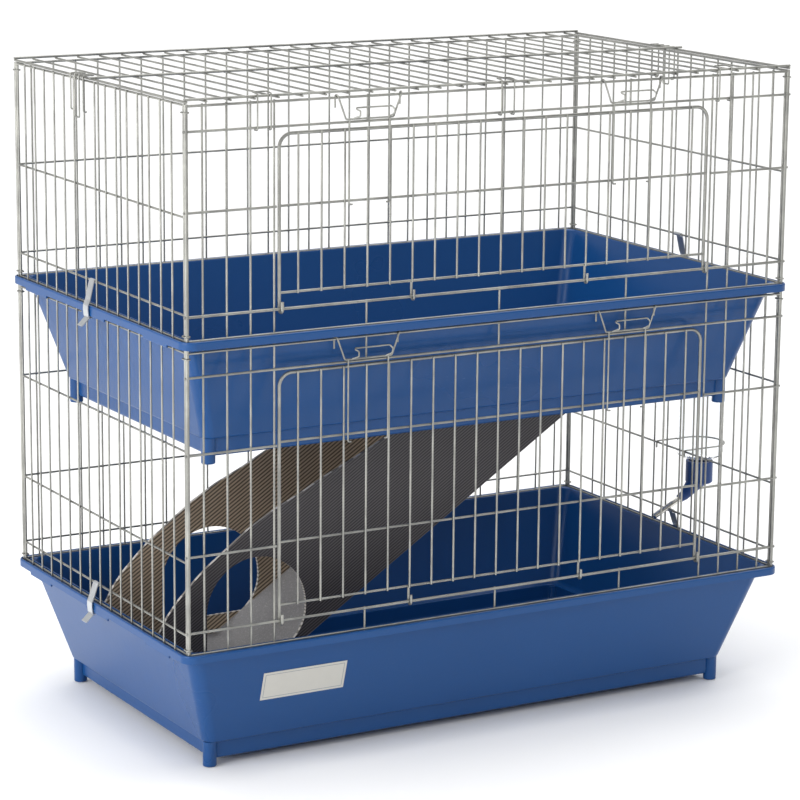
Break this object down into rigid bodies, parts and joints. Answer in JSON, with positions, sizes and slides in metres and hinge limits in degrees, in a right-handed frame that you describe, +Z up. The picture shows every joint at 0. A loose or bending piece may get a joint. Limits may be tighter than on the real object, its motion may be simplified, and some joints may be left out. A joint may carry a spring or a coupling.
{
  "type": "wire rabbit cage",
  "caption": "Tiered wire rabbit cage with moulded trays, fold-down front doors with wire latches, an inner ramp between floors and a hanging water bottle.",
  "frame": {"origin": "on the floor under the middle of the whole assembly's bounding box, water bottle included", "axes": "+X along the long side towards the water bottle, -Y out of the front doors, +Z up"},
  "size_m": [0.8602, 0.4694, 0.7486],
  "materials": {
    "tray_plastic": "injection moulded, glossy",
    "zinc_wire": "zinc-plated drawn wire, spot welded",
    "strap_steel": "bent spring strip",
    "label_film": "thin printed film, left blank",
    "ramp_sheet": "finely ribbed sheet",
    "ramp_floor": "speckled grip surface",
    "bottle_plastic": "clear blown plastic",
    "cap_plastic": "moulded",
    "tube_steel": "polished"
  },
  "bodies": {
    "cage": {"lower_tray": "tray_plastic", "upper_tray": "tray_plastic", "front_label": "label_film", "lower_front_panel": "zinc_wire", "lower_back_panel": "zinc_wire", "lower_left_panel": "zinc_wire", "lower_right_panel": "zinc_wire", "upper_front_panel": "zinc_wire", "upper_back_panel": "zinc_wire", "upper_left_panel": "zinc_wire", "upper_right_panel": "zinc_wire", "roof_panel": "zinc_wire", "corner_ties_lower": "zinc_wire", "corner_ties_upper": "zinc_wire", "ramp_near_wall": "ramp_sheet", "ramp_far_wall": "ramp_sheet", "ramp_walkway": "ramp_floor", "bottle": "bottle_plastic", "bottle_cap": "cap_plastic", "sipper_tube": "tube_steel", "bottle_holder": "zinc_wire"},
    "lower_door_body": {"lower_door": "zinc_wire"},
    "upper_door_body": {"upper_door": "zinc_wire"},
    "lower_left_door_latch_body": {"lower_left_door_latch": "zinc_wire"},
    "lower_right_door_latch_body": {"lower_right_door_latch": "zinc_wire"},
    "upper_left_door_latch_body": {"upper_left_door_latch": "zinc_wire"},
    "upper_right_door_latch_body": {"upper_right_door_latch": "zinc_wire"},
    "roof_clip_front_left_body": {"roof_clip_front_left": "zinc_wire"},
    "roof_clip_front_middle_body": {"roof_clip_front_middle": "zinc_wire"},
    "roof_clip_front_right_body": {"roof_clip_front_right": "zinc_wire"},
    "roof_clip_left_body": {"roof_clip_left": "zinc_wire"},
    "roof_clip_right_body": {"roof_clip_right": "zinc_wire"},
    "lower_left_strap_clip_body": {"lower_left_strap_clip": "strap_steel"},
    "lower_right_strap_clip_body": {"lower_right_strap_clip": "strap_steel"},
    "upper_left_strap_clip_body": {"upper_left_strap_clip": "strap_steel"},
    "upper_right_strap_clip_body": {"upper_right_strap_clip": "strap_steel"},
    "sipper_ball_body": {"sipper_ball": "tube_steel"}
  },
  "joints": [
    {"name": "lower_door_hinge", "type": "hinge", "parent": "cage", "child": "lower_door_body", "pos_m": [-0.0276, -0.2248, 0.1705], "axis": [1, 0, 0], "range_deg": [0, 140]},
    {"name": "upper_door_hinge", "type": "hinge", "parent": "cage", "child": "upper_door_body", "pos_m": [-0.0276, -0.2248, 0.5155], "axis": [1, 0, 0], "range_deg": [0, 140]},
    {"name": "lower_left_door_latch_swing", "type": "hinge", "parent": "cage", "child": "lower_left_door_latch_body", "pos_m": [-0.1967, -0.2248, 0.477], "axis": [-1, 0, 0], "range_deg": [0, 80]},
    {"name": "lower_right_door_latch_swing", "type": "hinge", "parent": "cage", "child": "lower_right_door_latch_body", "pos_m": [0.1405, -0.2248, 0.477], "axis": [-1, 0, 0], "range_deg": [0, 80]},
    {"name": "upper_left_door_latch_swing", "type": "hinge", "parent": "cage", "child": "upper_left_door_latch_body", "pos_m": [-0.1967, -0.2248, 0.7377], "axis": [-1, 0, 0], "range_deg": [0, 110]},
    {"name": "upper_right_door_latch_swing", "type": "hinge", "parent": "cage", "child": "upper_right_door_latch_body", "pos_m": [0.1405, -0.2248, 0.7377], "axis": [-1, 0, 0], "range_deg": [0, 110]},
    {"name": "roof_clip_front_left_swing", "type": "hinge", "parent": "cage", "child": "roof_clip_front_left_body", "pos_m": [-0.3231, -0.2248, 0.7442], "axis": [-1, 0, 0], "range_deg": [0, 80]},
    {"name": "roof_clip_front_middle_swing", "type": "hinge", "parent": "cage", "child": "roof_clip_front_middle_body", "pos_m": [-0.0238, -0.2248, 0.7442], "axis": [-1, 0, 0], "range_deg": [0, 20]},
    {"name": "roof_clip_front_right_swing", "type": "hinge", "parent": "cage", "child": "roof_clip_front_right_body", "pos_m": [0.2669, -0.2248, 0.7442], "axis": [-1, 0, 0], "range_deg": [0, 80]},
    {"name": "roof_clip_left_swing", "type": "hinge", "parent": "cage", "child": "roof_clip_left_body", "pos_m": [-0.4131, 0.0419, 0.7417], "axis": [0, 1, 0], "range_deg": [0, 80]},
    {"name": "roof_clip_right_swing", "type": "hinge", "parent": "cage", "child": "roof_clip_right_body", "pos_m": [0.3569, 0.028, 0.7417], "axis": [0, -1, 0], "range_deg": [0, 80]},
    {"name": "lower_left_strap_clip_swing", "type": "hinge", "parent": "cage", "child": "lower_left_strap_clip_body", "pos_m": [-0.4131, 0.0142, 0.1674], "axis": [0, 1, 0], "range_deg": [0, 90]},
    {"name": "lower_right_strap_clip_swing", "type": "hinge", "parent": "cage", "child": "lower_right_strap_clip_body", "pos_m": [0.3569, -0.0138, 0.1674], "axis": [0, -1, 0], "range_deg": [0, 60]},
    {"name": "upper_left_strap_clip_swing", "type": "hinge", "parent": "cage", "child": "upper_left_strap_clip_body", "pos_m": [-0.4131, 0.0142, 0.517], "axis": [0, 1, 0], "range_deg": [0, 90]},
    {"name": "upper_right_strap_clip_swing", "type": "hinge", "parent": "cage", "child": "upper_right_strap_clip_body", "pos_m": [0.3569, -0.0138, 0.517], "axis": [0, -1, 0], "range_deg": [0, 90]},
    {"name": "sipper_ball_slide", "type": "slide", "parent": "cage", "child": "sipper_ball_body", "axis": [0.9019, 0, 0.432], "range_m": [0, 0.0015]}
  ]
}
